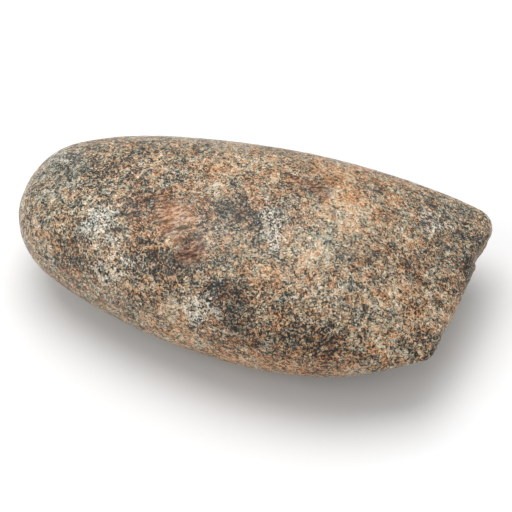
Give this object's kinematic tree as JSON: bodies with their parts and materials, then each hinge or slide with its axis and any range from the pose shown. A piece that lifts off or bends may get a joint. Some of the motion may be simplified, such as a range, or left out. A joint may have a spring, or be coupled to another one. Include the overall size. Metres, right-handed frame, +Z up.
{
  "type": "polished stone axe head",
  "caption": "Thick-butted ground stone axe head of coarse speckled rock, with a rounded butt, bulging faces and a worn, slightly slanting blade, lying on one broad face.",
  "frame": {"origin": "on the ground, under the middle of the head's bounding box", "axes": "+X along the head towards the blade, +Y across the blade, +Z up through the thickness"},
  "size_m": [0.1556, 0.0814, 0.0512],
  "materials": {
    "stone": "satin"
  },
  "bodies": {
    "root": {"stone_axe_head": "stone"}
  },
  "joints": []
}
